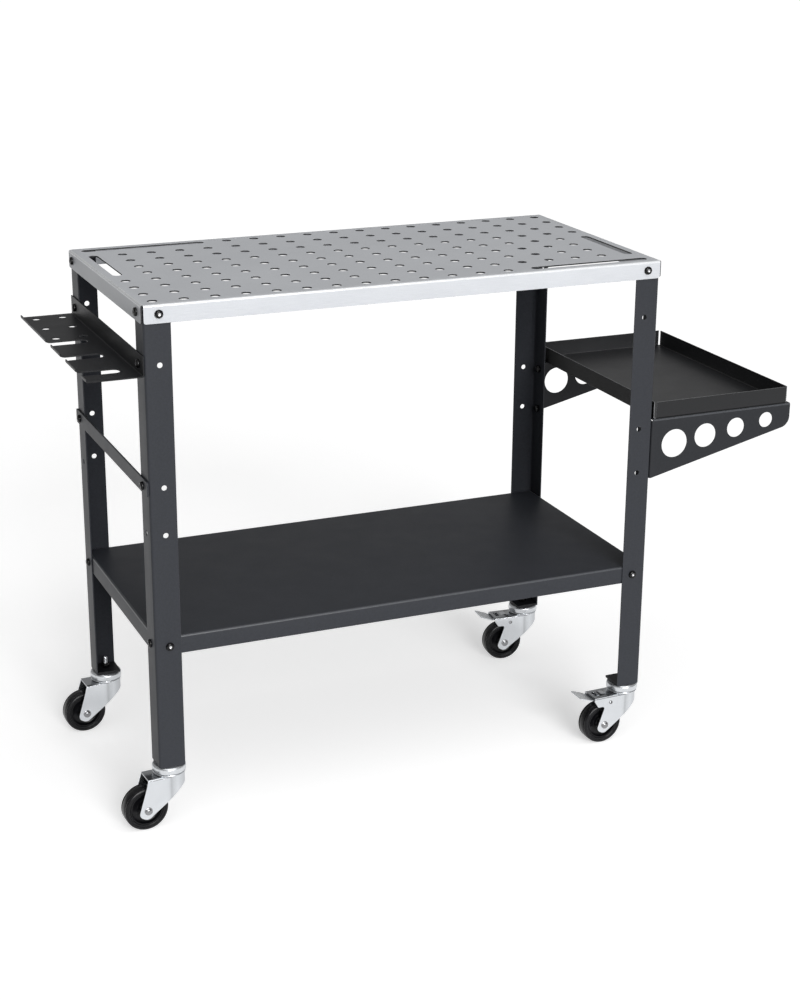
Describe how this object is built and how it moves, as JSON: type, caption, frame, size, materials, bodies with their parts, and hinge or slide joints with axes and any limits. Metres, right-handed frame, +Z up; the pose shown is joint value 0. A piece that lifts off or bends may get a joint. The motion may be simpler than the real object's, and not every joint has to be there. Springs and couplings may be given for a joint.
{
  "type": "mobile welding table",
  "caption": "Mobile welding table: perforated steel worktop on angle legs with a lower shelf, bracketed side tray, slotted tool rack and swivel casters, some with foot brakes.",
  "frame": {"origin": "on the floor, under the centre of the overall box", "axes": "+Z up, +X along the table towards the side tray, -Y towards the front edge"},
  "size_m": [1.2876, 0.4666, 0.897],
  "materials": {
    "worktop": "satin zinc grey",
    "frame_paint": "fine textured powder coat",
    "bracket_paint": "fine textured powder coat",
    "tray_paint": "fine textured powder coat",
    "bolt": "black oxide",
    "zinc": "bright zinc plate",
    "hub": "moulded",
    "tyre": "moulded"
  },
  "bodies": {
    "frame": {"worktop": "worktop", "leg_front_left": "frame_paint", "leg_front_right": "frame_paint", "leg_rear_left": "frame_paint", "leg_rear_right": "frame_paint", "lower_shelf": "frame_paint", "side_tray": "tray_paint", "tray_bracket_front": "bracket_paint", "tray_bracket_rear": "bracket_paint", "tool_rack": "tray_paint", "cross_bar": "frame_paint", "caster_stem_front_left": "zinc", "caster_stem_front_right": "zinc", "caster_stem_rear_left": "zinc", "caster_stem_rear_right": "zinc", "top_bolt_front_left_face": "bolt", "top_bolt_front_left_end": "bolt", "shelf_bolt_front_left_face": "bolt", "shelf_bolt_front_left_end": "bolt", "top_bolt_front_right_face": "bolt", "top_bolt_front_right_end": "bolt", "shelf_bolt_front_right_face": "bolt", "shelf_bolt_front_right_end": "bolt", "top_bolt_rear_left_face": "bolt", "top_bolt_rear_left_end": "bolt", "shelf_bolt_rear_left_face": "bolt", "shelf_bolt_rear_left_end": "bolt", "top_bolt_rear_right_face": "bolt", "top_bolt_rear_right_end": "bolt", "shelf_bolt_rear_right_face": "bolt", "shelf_bolt_rear_right_end": "bolt", "tray_bolt_front_upper": "bolt", "tray_bolt_front_lower": "bolt", "tray_bolt_rear_upper": "bolt", "tray_bolt_rear_lower": "bolt", "rack_bolt_front": "bolt", "rack_bolt_rear": "bolt", "bar_bolt_front": "bolt", "bar_bolt_rear": "bolt"},
    "caster_front_left": {"caster_fork_front_left": "zinc", "caster_axle_front_left": "zinc"},
    "wheel_front_left": {"caster_hub_front_left": "hub", "caster_tyre_front_left": "tyre"},
    "caster_front_right": {"caster_fork_front_right": "zinc", "caster_axle_front_right": "zinc", "brake_pin_front_right": "zinc"},
    "wheel_front_right": {"caster_hub_front_right": "hub", "caster_tyre_front_right": "tyre"},
    "pedal_front_right": {"brake_pedal_front_right": "zinc"},
    "caster_rear_left": {"caster_fork_rear_left": "zinc", "caster_axle_rear_left": "zinc"},
    "wheel_rear_left": {"caster_hub_rear_left": "hub", "caster_tyre_rear_left": "tyre"},
    "caster_rear_right": {"caster_fork_rear_right": "zinc", "caster_axle_rear_right": "zinc", "brake_pin_rear_right": "zinc"},
    "wheel_rear_right": {"caster_hub_rear_right": "hub", "caster_tyre_rear_right": "tyre"},
    "pedal_rear_right": {"brake_pedal_rear_right": "zinc"}
  },
  "joints": [
    {"name": "swivel_front_left", "type": "hinge", "parent": "frame", "child": "caster_front_left", "pos_m": [-0.5292, -0.20345, 0.0942], "axis": [0, 0, 1], "continuous": true},
    {"name": "roll_front_left", "type": "hinge", "parent": "caster_front_left", "child": "wheel_front_left", "pos_m": [-0.57412, -0.2062, 0.038], "axis": [0.0611, -0.9981, 0], "continuous": true},
    {"name": "swivel_front_right", "type": "hinge", "parent": "frame", "child": "caster_front_right", "pos_m": [0.3347, -0.20345, 0.0942], "axis": [0, 0, 1], "continuous": true},
    {"name": "roll_front_right", "type": "hinge", "parent": "caster_front_right", "child": "wheel_front_right", "pos_m": [0.28973, -0.20502, 0.038], "axis": [0.0349, -0.9994, 0], "continuous": true},
    {"name": "brake_front_right", "type": "hinge", "parent": "caster_front_right", "child": "pedal_front_right", "pos_m": [0.30072, -0.20464, 0.0815], "axis": [0.0349, -0.9994, 0], "range_deg": [0, 12]},
    {"name": "swivel_rear_left", "type": "hinge", "parent": "frame", "child": "caster_rear_left", "pos_m": [-0.5292, 0.20345, 0.0942], "axis": [0, 0, 1], "continuous": true},
    {"name": "roll_rear_left", "type": "hinge", "parent": "caster_rear_left", "child": "wheel_rear_left", "pos_m": [-0.57412, 0.2007, 0.038], "axis": [0.0611, -0.9981, 0], "continuous": true},
    {"name": "swivel_rear_right", "type": "hinge", "parent": "frame", "child": "caster_rear_right", "pos_m": [0.3347, 0.20345, 0.0942], "axis": [0, 0, 1], "continuous": true},
    {"name": "roll_rear_right", "type": "hinge", "parent": "caster_rear_right", "child": "wheel_rear_right", "pos_m": [0.28981, 0.20659, 0.038], "axis": [-0.0698, -0.9976, 0], "continuous": true},
    {"name": "brake_rear_right", "type": "hinge", "parent": "caster_rear_right", "child": "pedal_rear_right", "pos_m": [0.30078, 0.20582, 0.0815], "axis": [-0.0698, -0.9976, 0], "range_deg": [0, 12]}
  ]
}
